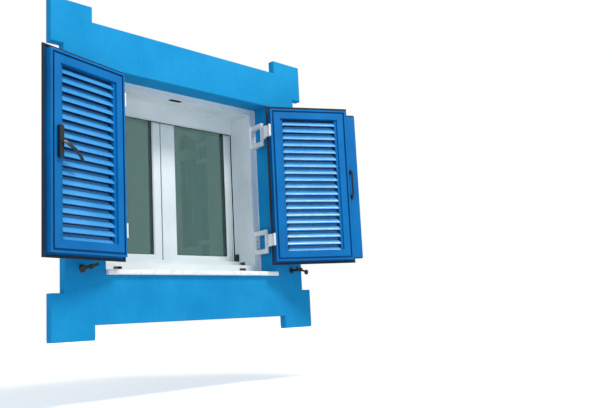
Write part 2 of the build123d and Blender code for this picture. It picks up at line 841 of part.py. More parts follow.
def sash_section():
    """The hollow sash profile, measured outward from the edge of the visible glass."""
    y0 = sash_face
    lap = sash_depth - sash_lap_thickness
    full = sash_visible + sash_lap
    points = [(0, sash_bevel_depth), (sash_bevel, 0), (sash_visible, 0), (sash_visible, lap)]
    points += [(full, lap), (full, sash_depth)]
    points += [(rebate, sash_depth), (rebate, rebate_lip), (0, rebate_lip)]
    face = outline(*[(u, y0 + v) for u, v in points])
    t, middle = sash_wall, y0 + sash_depth / 2
    inner, outer = rebate + t, sash_visible - t
    face -= band(inner, outer, y0 + t, middle - t / 2)
    return face - band(inner, outer, middle + t / 2, sash_back - t)


def sash(hand, free_edge):
    """One glazed sash: welded frame, sealed glass unit, outer seal and inner beads."""
    edges = sorted((hand * free_edge, hand * sash_outer))
    inset = sash_visible
    rect = (edges[0] + inset, edges[1] - inset, sash_foot + inset, sash_head - inset)
    widths = (sash_visible + sash_lap,) * 4
    side = "left" if hand < 0 else "right"
    keep(side + "_sash_frame", ring(sash_section(), rect, widths))
    x0, x1, z0, z1 = rect
    glass_y = sash_face + rebate_lip + glazing_seal
    edge = glass_edge
    unit = block(x0 - edge, x1 + edge, glass_y, glass_y + glass_thickness, z0 - edge, z1 + edge)
    keep(side + "_glass_unit", unit)
    seal = band(-seal_lip, glass_edge, sash_face + rebate_lip, glass_y)
    keep(side + "_glazing_seal", ring(seal, rect, widths))
    glass_back = glass_y + glass_thickness
    bead = outline((-bead_lip, glass_back), (rebate, glass_back), (rebate, sash_back),
                   (bead_foot, sash_back), (-bead_lip, glass_back + bead_bevel))
    sides = ("head", "foot", "left", "right")
    keep(side + "_glazing_beads", Compound([mitred_bar(bead, name, rect, widths) for name in sides]))


def sash_hinges():
    """Lift-off hinges of the sashes: frame halves with their pins, and a pair of halves on each sash."""
    px = sash_outer + sash_lap + sash_pivot_out
    py = sash_back + sash_pivot_in
    thick = sash_leaf_thickness
    lap_edge = sash_outer + sash_lap
    frame_leaf = outline((px, window_back), (px + sash_leaf_width, window_back),
                         (px + sash_leaf_width, window_back + thick), (px + barrel_radius, window_back + thick),
                         (px + barrel_radius, py), (px, py))
    sash_leaf = outline((lap_edge - sash_leaf_width, sash_back), (lap_edge, sash_back), (px, py - thick),
                        (px, py + thick), (lap_edge, sash_back + thick),
                        (lap_edge - sash_leaf_width, sash_back + thick))
    barrel = Pos(px, py) * RegularPolygon(barrel_radius, round_sides)
    half = barrel_height / 2
    heights = (sash_foot + sash_hinge_inset, sash_head - sash_hinge_inset)
    frame_halves, sash_halves = [], []
    for z in heights:
        lower = plan(frame_leaf + barrel, z - half, z - face_clearance / 2)
        upper = plan(sash_leaf + barrel, z + face_clearance / 2, z + half)
        pin = plan(Pos(px, py) * Circle(sash_pin_radius), z - half, z + sash_pin_engagement)
        bore = Pos(px, py) * Circle(sash_pin_radius + running_clearance)
        bore = plan(bore, z, z + sash_pin_engagement + sash_bore_spare)
        frame_halves.append(lower + pin)
        sash_halves.append(upper - bore)
    both = frame_halves + [mirror(shape, about=Plane.YZ) for shape in frame_halves]
    keep("sash_hinge_frame_halves", Compound(solids_of(both)))
    keep("right_sash_hinge_halves", Compound(solids_of(sash_halves)))
    keep("left_sash_hinge_halves", Compound(solids_of([mirror(s, about=Plane.YZ) for s in sash_halves])))


def solids_of(shapes):
    """All solids in a list of shapes."""
    return [solid for shape in shapes for solid in shape.solids()]


def sash_handle():
    """The inside handle on the left sash: a plate and a lever that points down when shut."""
    x = -(meeting_gap / 2 + (sash_visible - sash_lap) / 2)
    z = (sash_head + sash_foot) / 2
    face = Plane((x, sash_back, z), x_dir=(1, 0, 0), z_dir=(0, 1, 0))
    plate = face * Rectangle(handle_plate_width, handle_plate_height)
    keep("sash_handle_plate", extrude(chamfer(plate.vertices(), handle_bevel), handle_plate_thickness))
    y0 = sash_back + handle_plate_thickness + face_clearance
    neck = extrude(Plane((x, y0, z), x_dir=(1, 0, 0), z_dir=(0, 1, 0)) * Circle(handle_neck), handle_boss)
    grip_plane = Plane((x, y0 + handle_boss, z), x_dir=(1, 0, 0), z_dir=(0, 1, 0))
    grip = grip_plane * (bevelled_end(handle_width / 2, handle_length) + Circle(handle_neck))
    keep("sash_handle_lever", neck + extrude(grip, handle_thickness))


def build():
    keep("surround", surround())
    keep("sill", sill())
    frame_bars = shutter_frame()
    for side, name in (("head", "head"), ("foot", "foot"), ("left", "left_jamb"), ("right", "right_jamb")):
        keep("shutter_frame_" + name, frame_bars[side])
    keep("rod_keepers", Compound([keeper_body(frame_head, 1), keeper_body(frame_foot, -1)]))
    keep("screen_frame", screen_frame())
    keep("window_frame", window_frame())
    screen_parts()

    upper_rod, lower_rod = cremone_rods()
    top_hole, bottom_hole = rod_holes()
    for hand, side in ((-1, "left"), (1, "right")):
        bars = leaf_bars()
        if hand < 0:
            bars["top_rail"] -= top_hole
            bars["bottom_rail"] -= bottom_hole
        for name, bar in bars.items():
            keep(side + "_" + name, swing(bar, hand))
        keep(side + "_slats", swing(slats(), hand))
        keep(side + "_slat_combs", swing(combs(), hand))
        seal_sides = ("head", "foot", "right", "left") if hand < 0 else ("head", "foot", "right")
        keep(side + "_leaf_seal", swing(leaf_seal(seal_sides), hand))
        keep(side + "_hinge_arms", swing(Compound([hinge_arm(z) for z in hinge_heights]), hand))
        keep(side + "_arm_screws", swing(arm_screws(), hand))
        brackets = Compound([hinge_bracket(z) for z in hinge_heights])
        keep(side + "_hinge_brackets", brackets if hand > 0 else mirror(brackets, about=Plane.YZ))
        keep(side + "_holdback_post", holdback_post(hand))
        keep(side + "_holdback_catch", holdback_catch(hand))
    keep("hinge_pins", hinge_pins())
    keep("bracket_screws", bracket_screws())

    keep("cremone_plate", swing(cremone_plate(), -1))
    keep("cremone_lever", swing(cremone_lever(), -1))
    keep("cremone_top_rod", swing(upper_rod, -1))
    keep("cremone_bottom_rod", swing(lower_rod, -1))
    flange, caps = meeting_flange()
    keep("meeting_flange", swing(flange, 1))
    keep("flange_end_caps", swing(caps, 1))
    keep("pull_handle", swing(pull_handle(), 1))

    half_gap = meeting_gap / 2
    sash(-1, half_gap)
    sash(1, half_gap + mullion_width)
    mullion = block(half_gap, half_gap + mullion_width, sash_face, sash_face + mullion_depth,
                    sash_foot, sash_head)
    keep("false_mullion", mullion)
    sash_hinges()
    sash_handle()


build()
for name, shape in NODES.items():
    export_step(shape, "parts/" + name + ".step")
print(len(NODES), "nodes")
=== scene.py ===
# %% [markdown]
# # A casement window with louvred shutters
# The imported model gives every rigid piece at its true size: the painted surround, three frames
# one behind the other, two sashes and two shutter leaves. What is left for Blender is what the
# solids can't say: how paint, marble, powder coat, nylon and glass look, and the small things
# such as screw drives, bristles, sealant and the inside of a sealed glass unit.

# %% Load the frame
from math import cos, pi, radians, sin

import bmesh
import bpy
from mathutils import Matrix, Vector
from mathutils.noise import noise as wobble


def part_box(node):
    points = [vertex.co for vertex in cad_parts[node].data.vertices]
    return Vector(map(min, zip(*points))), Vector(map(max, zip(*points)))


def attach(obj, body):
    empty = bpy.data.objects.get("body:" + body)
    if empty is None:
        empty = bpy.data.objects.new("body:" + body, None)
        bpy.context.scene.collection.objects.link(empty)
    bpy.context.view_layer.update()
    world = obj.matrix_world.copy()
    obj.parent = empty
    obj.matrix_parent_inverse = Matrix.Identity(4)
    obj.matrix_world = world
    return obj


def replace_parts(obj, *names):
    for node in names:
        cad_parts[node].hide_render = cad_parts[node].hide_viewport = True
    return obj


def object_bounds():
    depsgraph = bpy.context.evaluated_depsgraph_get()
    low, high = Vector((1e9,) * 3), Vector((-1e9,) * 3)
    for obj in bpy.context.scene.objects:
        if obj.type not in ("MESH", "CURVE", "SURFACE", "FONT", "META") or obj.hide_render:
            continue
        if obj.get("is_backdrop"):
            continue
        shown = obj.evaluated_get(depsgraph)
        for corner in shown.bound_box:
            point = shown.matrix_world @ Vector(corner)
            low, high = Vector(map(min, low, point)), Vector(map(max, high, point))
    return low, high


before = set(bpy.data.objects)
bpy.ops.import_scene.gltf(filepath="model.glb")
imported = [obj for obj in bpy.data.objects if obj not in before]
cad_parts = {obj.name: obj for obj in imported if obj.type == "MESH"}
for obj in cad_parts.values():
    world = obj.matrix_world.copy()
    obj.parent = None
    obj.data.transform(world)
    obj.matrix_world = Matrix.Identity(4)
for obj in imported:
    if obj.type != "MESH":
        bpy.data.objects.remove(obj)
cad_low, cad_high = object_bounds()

# %% [markdown]
# ## Where things are
# A shutter leaf is easiest to think about when it is shut, so what belongs to it is placed on the
# shut leaf and then swung to the angle it rests at, about the same pin as in the model. The
# alternative, measuring each part on the open leaf, would need new numbers for every angle.

# %% The shut leaf and its swing
MM = 0.001
PIN_X, PIN_Y = 606 * MM, -20 * MM
OPEN_ANGLE = {"left": 165.0, "right": 150.3}
HAND = {"left": -1, "right": 1}


def swung(side):
    """The move from a shut right-hand leaf to the resting leaf of that side."""
    hand = HAND[side]
    pin = Matrix.Translation((hand * PIN_X, PIN_Y, 0))
    turn = pin @ Matrix.Rotation(hand * radians(OPEN_ANGLE[side]), 4, "Z") @ pin.inverted()
    return turn @ Matrix.Diagonal((hand, 1, 1, 1))


sill_low, sill_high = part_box("sill")
print("sill:", [round(v, 3) for v in sill_low], [round(v, 3) for v in sill_high])

# %% [markdown]
# ## Colour and nodes
# Colours are written as sRGB hex, the way a paint chart gives them, and turned to linear light in
# one place. One small function adds a shader node, so that each material reads as a short recipe.

# %% Colour and node helpers


def linear(hex_colour):
    """An sRGB hex colour as linear RGBA."""
    channels = [int(hex_colour[i:i + 2], 16) / 255 for i in (1, 3, 5)]
    return [c / 12.92 if c <= 0.04045 else ((c + 0.055) / 1.055) ** 2.4 for c in channels] + [1.0]


def add(tree, kind, links=None, inputs=None, **settings):
    """Add one node: its settings, its socket values and what is linked into it."""
    made = tree.nodes.new("ShaderNode" + kind)
    for name, value in settings.items():
        setattr(made, name, value)
    for name, value in (inputs or {}).items():
        made.inputs[name].default_value = value
    for name, source in (links or {}).items():
        tree.links.new(source, made.inputs[name])
    return made


def maths(tree, operation, first, second=None, number=None):
    """One sum on two values; the second is a link or a plain number."""
    links = {0: first}
    if second is not None:
        links[1] = second
    inputs = {} if number is None else {1: number}
    return add(tree, "Math", links, inputs, operation=operation).outputs["Value"]


def start(name, **values):
    """A new material: its surface shader with some values, and the object's own coordinates."""
    material = bpy.data.materials.new(name)
    material.use_nodes = True
    tree = material.node_tree
    tree.nodes.clear()
    surface = add(tree, "BsdfPrincipled")
    for socket, value in values.items():
        surface.inputs[socket.replace("_", " ")].default_value = value
    add(tree, "OutputMaterial", {"Surface": surface.outputs["BSDF"]})
    place = add(tree, "TexCoord").outputs["Object"]
    return material, tree, surface, place


def grain(tree, place, size_mm, detail=3.0, rough=0.5, stretch=None):
    """Noise whose blotches are about size_mm across; stretch makes it streaky along an axis."""
    if stretch:
        place = add(tree, "Mapping", {"Vector": place}, {"Scale": stretch}).outputs["Vector"]
    inputs = {"Scale": 1 / (size_mm * MM * 2), "Detail": detail, "Roughness": rough}
    return add(tree, "TexNoise", {"Vector": place}, inputs).outputs["Fac"]


def between(tree, factor, low, high, dark, light):
    """Two colours blended by a factor that runs from low to high."""
    ramp = add(tree, "ValToRGB", {"Fac": factor})
    for element, position, colour in zip(ramp.color_ramp.elements, (low, high), (dark, light)):
        element.position, element.color = position, linear(colour)
    return ramp.outputs["Color"]


def spread(tree, factor, low, high, first, last):
    """A number that goes from first to last as the factor runs from low to high."""
    inputs = {"From Min": low, "From Max": high, "To Min": first, "To Max": last}
    return add(tree, "MapRange", {"Value": factor}, inputs).outputs["Result"]


def bumped(tree, surface, layers):
    """Feed the shader a bump made of (height, depth in millimetres) layers."""
    normal = None
    for height, depth in layers:
        links = {"Height": height}
        if normal:
            links["Normal"] = normal
        normal = add(tree, "Bump", links, {"Strength": 1.0, "Distance": depth * MM}).outputs["Normal"]
    tree.links.new(normal, surface.inputs["Normal"])


def paint(material, *nodes):
    """Give model nodes a finish."""
    for name in nodes:
        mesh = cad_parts[name].data
        mesh.materials.clear()
        mesh.materials.append(material)
    print(material.name, "on", len(nodes), "nodes")


# %% [markdown]
# ## Masonry paint on plaster
# The surround is plaster, brushed with thick matt paint. The eye reads three sizes at once: the
# slow waves of the trowel, the ridges of the brush and the grit of the render. Each is a noise at
# its own scale, and the colour is a little paler on the ridges, where such paint chalks first.

# %% Masonry paint
TROWEL_MM, BRUSH_MM, GRIT_MM, PATCH_MM = 90, 6, 1.6, 160
TROWEL_DEPTH, BRUSH_DEPTH, GRIT_DEPTH = 1.2, 0.35, 0.2
BRUSH_STRETCH = (1.0, 1.0, 0.25)
RIDGE_CHALK, PATCH_CHALK = 0.35, 0.65

masonry, tree, surface, place = start("blue_masonry_paint", Roughness=0.85, Specular_IOR_Level=0.2)
trowel = grain(tree, place, TROWEL_MM, 2.0)
brush = grain(tree, place, BRUSH_MM, 4.0, 0.6, BRUSH_STRETCH)
grit = grain(tree, place, GRIT_MM, 2.0)
patches = grain(tree, place, PATCH_MM, 5.0, 0.6)
on_ridges = spread(tree, brush, 0.35, 0.8, 0.0, RIDGE_CHALK)
in_patches = spread(tree, patches, 0.3, 0.7, 0.0, PATCH_CHALK)
chalked = maths(tree, "ADD", in_patches, on_ridges)
tree.links.new(between(tree, chalked, 0.0, 1.0, "#0083c0", "#1a98d1"), surface.inputs["Base Color"])
bumped(tree, surface, [(trowel, TROWEL_DEPTH), (brush, BRUSH_DEPTH), (grit, GRIT_DEPTH)])
paint(masonry, "surround")

# %% [markdown]
# ## Marble sill
# A honed white marble: nearly white, with soft grey clouds and a few thin veins. The veins are the
# places where a distorted noise passes through its middle value, so they wander and fork.

# %% Marble
CLOUD_MM, HONED_MM, HONED_DEPTH = 120, 1.2, 0.05
VEINS = {"Scale": 6.0, "Detail": 6.0, "Distortion": 1.2}
NOISE_MIDDLE, VEIN_WIDTH, CLOUD_SHADE = 0.5, 0.03, 0.75

marble, tree, surface, place = start("white_marble", Roughness=0.38)
cloud = spread(tree, grain(tree, place, CLOUD_MM, 4.0, 0.6), 0.3, 0.7, CLOUD_SHADE, 1.0)
vein_noise = add(tree, "TexNoise", {"Vector": place}, VEINS).outputs["Fac"]
from_middle = maths(tree, "ABSOLUTE", maths(tree, "SUBTRACT", vein_noise, number=NOISE_MIDDLE))
vein = spread(tree, from_middle, 0.0, VEIN_WIDTH, 0.0, 1.0)
shade = maths(tree, "MULTIPLY", cloud, vein)
tree.links.new(between(tree, shade, 0.0, 1.0, "#e0e3e5", "#f3f4f3"), surface.inputs["Base Color"])
bumped(tree, surface, [(grain(tree, place, HONED_MM), HONED_DEPTH)])
paint(marble, "sill")

# %% [markdown]
# ## Powder coat
# Powder coat on aluminium flows as it bakes and freezes with a fine orange peel about a
# millimetre across, under an even satin gloss. One function makes it, because the frames, the
# leaves and their blades differ only in colour and gloss. The blades are given a paler blue than
# the leaves as painted sunlight and sky sheen on the same paint. Between two blades the shader
# paints shade: it measures how open each point is and mixes in a dark blue where the gap is tight.

# %% Powder coat
DRIFT_MM, DUST_MM, PEEL_MM = 130, 35, 1.1
# How far and how closed a gap must be for the painted shade between blades.
GAP_SHADE_REACH = 22 * MM
GAP_SHADE_CLOSED, GAP_SHADE_OPEN = 0.62, 0.88


def powder_coat(name, dark, light, roughness, peel=0.05, shine=0.4, corner=None):
    """Satin powder coat: faint drifts of colour, a fine orange peel and painted shade in tight
    corners.
    """
    material, tree, surface, place = start(name, Specular_IOR_Level=shine)
    colour = between(tree, grain(tree, place, DRIFT_MM, 3.0, 0.55), 0.35, 0.65, dark, light)
    # Painted shade: a dark blue mixed in where ambient occlusion finds a tight gap.
    if corner:
        shading = add(tree, "AmbientOcclusion", inputs={"Distance": GAP_SHADE_REACH}, samples=8)
        reach = spread(tree, shading.outputs["AO"], GAP_SHADE_CLOSED, GAP_SHADE_OPEN, 0.0, 1.0)
        mixed = add(tree, "MixRGB", {"Fac": reach, "Color2": colour}, {"Color1": linear(corner)})
        colour = mixed.outputs["Color"]
    tree.links.new(colour, surface.inputs["Base Color"])
    dust = grain(tree, place, DUST_MM, 5.0, 0.6)
    tree.links.new(spread(tree, dust, 0.35, 0.65, roughness - 0.05, roughness + 0.07),
                   surface.inputs["Roughness"])
    bumped(tree, surface, [(grain(tree, place, PEEL_MM, 1.0), peel)])
    return material


# The faint cyan in this white is painted sky light; the paint itself is plain white.
white_coat = powder_coat("white_powder_coat", "#dae4e8", "#e6eef1", 0.38)
blue_coat = powder_coat("blue_powder_coat", "#0064a8", "#0070b6", 0.4, shine=0.2)
# The blades' paler blue is painted sunlight and sky sheen on the leaves' paint, and #002148 is their
# painted shade.
blade_painted_light = powder_coat("blue_blade_painted_light", "#2b8fd4", "#469fe0", 0.3, shine=0.6, corner="#002148")
hinge_coat = powder_coat("white_hinge_paint", "#e2e5e6", "#f0f2f2", 0.3, peel=0.08)

paint(white_coat, "shutter_frame_head", "shutter_frame_left_jamb", "shutter_frame_right_jamb",
      "shutter_frame_foot", "screen_frame", "window_frame", "screen_cassette", "screen_pull_bar",
      "left_sash_frame", "right_sash_frame", "left_glazing_beads", "right_glazing_beads",
      "false_mullion")
paint(hinge_coat, "left_hinge_brackets", "right_hinge_brackets", "left_hinge_arms",
      "right_hinge_arms", "sash_hinge_frame_halves", "left_sash_hinge_halves",
      "right_sash_hinge_halves", "sash_handle_plate", "sash_handle_lever")
LEAF_BARS = ("top_rail", "bottom_rail", "hinge_stile", "free_stile", "slat_combs")
paint(blue_coat, "meeting_flange", *[f"{side}_{bar}" for side in HAND for bar in LEAF_BARS])
paint(blade_painted_light, "left_slats", "right_slats")

# %% [markdown]
# ## The black parts
# Four blacks that differ in how they were made: cast handles under a sandy coat, iron holdbacks
# under brushed paint, moulded nylon, and rubber, which is the dullest. Keeping them apart in
# gloss and grain is what stops small black parts from reading as holes.

# %% Blacks
BLOTCH_MM = 25


def black(name, dark, light, roughness, layers, coat=0.0):
    """A black finish with its own gloss and (blotch, depth) bumps, both in millimetres."""
    material, tree, surface, place = start(name, Roughness=roughness, Coat_Weight=coat)
    blotches = grain(tree, place, BLOTCH_MM, 4.0)
    tree.links.new(between(tree, blotches, 0.35, 0.7, dark, light), surface.inputs["Base Color"])
    bumped(tree, surface, [(grain(tree, place, size, 2.0), depth) for size, depth in layers])
    return material


cast_black = black("black_cast_coat", "#141517", "#1f2123", 0.38, [(0.9, 0.08)], coat=0.2)
iron_black = black("black_painted_iron", "#17181a", "#2a2826", 0.5, [(8, 0.3), (1.5, 0.12)])
nylon_black = black("black_nylon", "#15161a", "#1e2024", 0.55, [(0.6, 0.03)])
rubber_black = black("black_rubber", "#0e0f10", "#1b1c1d", 0.7, [(1.5, 0.05)])
paint(cast_black, "cremone_plate", "cremone_lever", "pull_handle", "cremone_top_rod",
      "cremone_bottom_rod")
paint(iron_black, "left_holdback_post", "right_holdback_post", "left_holdback_catch",
      "right_holdback_catch")
paint(nylon_black, "rod_keepers", "screen_end_stops", "flange_end_caps")
paint(rubber_black, "left_leaf_seal", "right_leaf_seal", "left_glazing_seal", "right_glazing_seal")

# %% [markdown]
# ## The lining of the screen's guides
# The two slots that the insect screen runs in are lined with black pile, and from outside each one
# is a thin dark line beside the sash. The walls of the slots are already in the solid model, so
# only their faces get a second finish.

# %% Guide lining
GUIDE_X, GUIDE_Y = (598.2 * MM, 622.5 * MM), (293.5 * MM, 306.5 * MM)
guide_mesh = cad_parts["screen_frame"].data
guide_mesh.materials.append(rubber_black)
lined = 0
for face in guide_mesh.polygons:
    x, y = abs(face.center.x), face.center.y
    if GUIDE_X[0] < x < GUIDE_X[1] and GUIDE_Y[0] < y < GUIDE_Y[1]:
        face.material_index = 1
        lined += 1
print("lined faces:", lined)

# %% [markdown]
# ## Bare metal
# The hinge pins and screws are stainless. Fine lines along the piece show how it was drawn or
# turned, so their noise is stretched along Z.

# %% Bare metal
LINE_MM, LINE_DEPTH, LINE_STRETCH = 0.8, 0.02, (1.0, 1.0, 0.03)


def drawn_metal(name, colour, roughness):
    """Metal with fine drawing lines along Z."""
    material, tree, surface, place = start(name, Base_Color=linear(colour), Metallic=1.0)
    lines = grain(tree, place, LINE_MM, 2.0, 0.5, LINE_STRETCH)
    tree.links.new(spread(tree, lines, 0.3, 0.7, roughness - 0.06, roughness + 0.08),
                   surface.inputs["Roughness"])
    bumped(tree, surface, [(lines, LINE_DEPTH)])
    return material


stainless = drawn_metal("turned_stainless", "#b9babb", 0.28)
paint(stainless, "hinge_pins")

# %% [markdown]
# ## The rolled insect screen
# Glass-fibre mesh has a thread about every 1.4 mm. Rolled up in its cassette it is dark grey with
# a fine square relief, drawn here with two wave patterns that cross.

# %% Screen mesh
THREAD_PITCH, THREAD_DEPTH = 1.4 * MM, 0.2
mesh_grey, tree, surface, place = start("screen_mesh_roll", Roughness=0.8)
warp, weft = [add(tree, "TexWave", {"Vector": place}, {"Scale": 1 / THREAD_PITCH / pi},
                  bands_direction=axis).outputs["Fac"] for axis in "XZ"]
cross = maths(tree, "MAXIMUM", warp, weft)
tree.links.new(between(tree, cross, 0.4, 0.9, "#0c0d0e", "#3a3d40"), surface.inputs["Base Color"])
bumped(tree, surface, [(cross, THREAD_DEPTH)])
paint(mesh_grey, "screen_roll")

# %% [markdown]
# ## Sealed glass units
# The solid model has one block for each glass unit. A real one is two panes with a spacer bar
# between their edges, and seen at a slant the two reflections and the grey bar are what tell
# double glazing from a plain pane. So each block is replaced by two panes and a spacer.
# Solar-control glass is a dark grey green, and its tint sits in the outer pane.

# %% Mesh helpers


def piece(name, builder, material, body, smooth=False):
    """Build a mesh with bmesh, give it a finish and a slot, and let it ride on a body."""
    shape = bmesh.new()
    builder(shape)
    bmesh.ops.recalc_face_normals(shape, faces=shape.faces)
    mesh = bpy.data.meshes.new(name)
    shape.to_mesh(mesh)
    shape.free()
    mesh.materials.append(material)
    if smooth:
        mesh.shade_smooth()
    made = bpy.data.objects.new(name, mesh)
    bpy.context.scene.collection.objects.link(made)
    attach(made, body)
    print(name, "has", len(mesh.polygons), "faces")
    return made


def slab(shape, low, high, bevel=0.0):
    """A slab between two corners, in metres, with its edges rounded by bevel."""
    low, high = Vector(low), Vector(high)
    seat = Matrix.Translation((low + high) / 2) @ Matrix.Diagonal([*(high - low), 1])
    made = bmesh.ops.create_cube(shape, size=1, matrix=seat)["verts"]
    if bevel:
        edges = list(dict.fromkeys(edge for vert in made for edge in vert.link_edges))
        bmesh.ops.bevel(shape, geom=edges, offset=bevel, segments=2, affect="EDGES")


def picture_frame(shape, low, high, width, y0, y1):
    """Four mitred bars round a rectangle in X and Z, from y0 to y1."""
    rings = []
    for inset in (0, width):
        for y in (y0, y1):
            points = [(low[0] + inset, low[1] + inset), (high[0] - inset, low[1] + inset),
                      (high[0] - inset, high[1] - inset), (low[0] + inset, high[1] - inset)]
            rings.append([shape.verts.new((x, y, z)) for x, z in points])
    for i in range(4):
        j = (i + 1) % 4
        for a, b in ((0, 1), (1, 3), (3, 2), (2, 0)):
            shape.faces.new((rings[a][i], rings[a][j], rings[b][j], rings[b][i]))


# %% Glass and spacer materials
FLOAT_WAVE_MM, FLOAT_WAVE_DEPTH = 220, 0.35
HOLE_PITCH, HOLE_DEPTH = 3 * MM, 0.3


def glass(name, colour, clearness):
    """Float glass with its faint long waves; the colour is the light it lets through."""
    material, tree, surface, place = start(name, Base_Color=linear(colour), Roughness=0.0, IOR=1.5,
                                           Transmission_Weight=clearness)
    bumped(tree, surface, [(grain(tree, place, FLOAT_WAVE_MM, 1.0), FLOAT_WAVE_DEPTH)])
    return material


outer_glass = glass("solar_glass", "#66827f", 0.95)
inner_glass = glass("clear_glass", "#dfe9e5", 1.0)

spacer_metal, tree, surface, place = start("spacer_aluminium", Base_Color=linear("#9a9ea1"),
                                           Metallic=0.9, Roughness=0.45)
holes = add(tree, "TexVoronoi", {"Vector": place}, {"Scale": 1 / HOLE_PITCH, "Randomness": 0.0})
bumped(tree, surface, [(spread(tree, holes.outputs["Distance"], 0.1, 0.2, 0.0, 1.0), HOLE_DEPTH)])
print("glass:", outer_glass.name, inner_glass.name)

# %% The two sealed units
PANE = 4 * MM
PANE_EDGE = 0.4 * MM
SPACER = 12 * MM
for side in HAND:
    low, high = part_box(f"{side}_glass_unit")
    sash = f"{side}_sash"

    def pane(shape, y0, y1):
        slab(shape, (low.x, y0, low.z), (high.x, y1, high.z), PANE_EDGE)

    def spacer(shape):
        picture_frame(shape, (low.x, low.z), (high.x, high.z), SPACER, low.y + PANE, high.y - PANE)

    outer = piece(f"{side}_outer_pane", lambda shape: pane(shape, low.y, low.y + PANE),
                  outer_glass, sash)
    piece(f"{side}_inner_pane", lambda shape: pane(shape, high.y - PANE, high.y),
          inner_glass, sash)
    piece(f"{side}_glass_spacer", spacer, spacer_metal, sash)
    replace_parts(outer, f"{side}_glass_unit")

# %% [markdown]
# ## Screws
# The solid model gives each screw a six-sided head. A pan head has a domed top and a cross in it,
# and the dark cross is what the eye looks for. One head is made by spinning its profile and
# cutting a cross out, and copies of it replace the six-sided ones.

# %% One screw head
HEAD_RADIUS, HEAD_HEIGHT = 4.5 * MM, 2.7 * MM
RIM_SHARE = 0.45
DOME_STEPS, TURN_STEPS = 7, 24
CROSS_LONG, CROSS_SHORT = 0.62, 0.14
CROSS_FLOOR, CROSS_TOP = 0.4, 1.2
WELD = 1e-6


def finished(shape, name):
    """A mesh made from a bmesh, which is freed."""
    mesh = bpy.data.meshes.new(name)
    shape.to_mesh(mesh)
    shape.free()
    return mesh


def cross_head(radius, height):
    """A pan head that points along +Z from the origin, with a cross recess."""
    shape = bmesh.new()
    angles = [k * pi / 2 / DOME_STEPS for k in range(1, DOME_STEPS)]
    profile = [(radius, 0), (radius, height * RIM_SHARE)]
    profile += [(radius * cos(angle), height * (RIM_SHARE + (1 - RIM_SHARE) * sin(angle)))
                for angle in angles]
    profile += [(0, height), (0, 0)]
    verts = [shape.verts.new((r, 0, z)) for r, z in profile]
    edges = [shape.edges.new((a, b)) for a, b in zip(verts, verts[1:] + verts[:1])]
    bmesh.ops.spin(shape, geom=verts + edges, cent=(0, 0, 0), axis=(0, 0, 1), angle=2 * pi,
                   steps=TURN_STEPS)
    bmesh.ops.remove_doubles(shape, verts=shape.verts, dist=WELD)
    bmesh.ops.recalc_face_normals(shape, faces=shape.faces)
    head = finished(shape, "head")
    shape = bmesh.new()
    for long, short in ((CROSS_LONG, CROSS_SHORT), (CROSS_SHORT, CROSS_LONG)):
        slab(shape, (-radius * long, -radius * short, height * CROSS_FLOOR),
             (radius * long, radius * short, height * CROSS_TOP))
    cut = finished(shape, "cut")
    whole, cutter = [bpy.data.objects.new(mesh.name, mesh) for mesh in (head, cut)]
    for made in (whole, cutter):
        bpy.context.scene.collection.objects.link(made)
    boolean = whole.modifiers.new("recess", "BOOLEAN")
    boolean.operation, boolean.object, boolean.solver = "DIFFERENCE", cutter, "EXACT"
    boolean.use_self = True
    graph = bpy.context.evaluated_depsgraph_get()
    result = bpy.data.meshes.new_from_object(whole.evaluated_get(graph))
    for made in (whole, cutter):
        bpy.data.objects.remove(made)
    return result


screw_head = cross_head(HEAD_RADIUS, HEAD_HEIGHT)
print("screw head:", len(screw_head.polygons), "faces")

# %% Screws where the six-sided heads are
SCREW_TURN = 0.7


def islands(node):
    """The middle of each separate solid of a node."""
    shape = bmesh.new()
    shape.from_mesh(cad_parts[node].data)
    bmesh.ops.remove_doubles(shape, verts=shape.verts, dist=WELD)
    seen, middles = set(), []
    for first in shape.verts:
        if first in seen:
            continue
        seen.add(first)
        queue, group = [first], []
        while queue:
            vert = queue.pop()
            group.append(vert.co.copy())
            for edge in vert.link_edges:
                other = edge.other_vert(vert)
                if other not in seen:
                    seen.add(other)
                    queue.append(other)
        middles.append(sum(group, Vector()) / len(group))
    shape.free()
    return middles


def screws(name, node, outward, body):
    """Cross-head screws in place of a node's heads, facing outward."""
    outward = Vector(outward).normalized()
    aim = outward.to_track_quat("Z", "Y").to_matrix().to_4x4()

    def build(shape):
        for index, middle in enumerate(islands(node)):
            seat = Matrix.Translation(middle - outward * HEAD_HEIGHT / 2)
            spin = Matrix.Rotation(index * SCREW_TURN, 4, "Z")
            before = len(shape.verts)
            shape.from_mesh(screw_head)
            shape.verts.ensure_lookup_table()
            bmesh.ops.transform(shape, matrix=seat @ aim @ spin, verts=shape.verts[before:])

    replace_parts(piece(name, build, stainless, body), node)


screws("bracket_pan_screws", "bracket_screws", (0, -1, 0), "frame")
for side in HAND:
    facing = swung(side).to_3x3() @ Vector((1, 0, 0))
    screws(f"{side}_arm_pan_screws", f"{side}_arm_screws", facing, f"{side}_shutter")

# %% [markdown]
# ## Brush under the pull bar
# The bar that pulls the insect screen down closes on the sill with a strip of black bristles. From
# below it is a dark line along the cassette. Bristles are quick to make as many thin tapered
# tufts, each leaning a little its own way.

# %% Bristles
BRISTLE, TUFT_STEP, TUFT_HALF = 6 * MM, 2.2 * MM, 0.9 * MM
STRIP_END, STRIP_SINK = 25 * MM, 0.3 * MM
ROW_OFFSET, LEAN = 2 * MM, 1.5 * MM
bar_low, bar_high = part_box("screen_pull_bar")


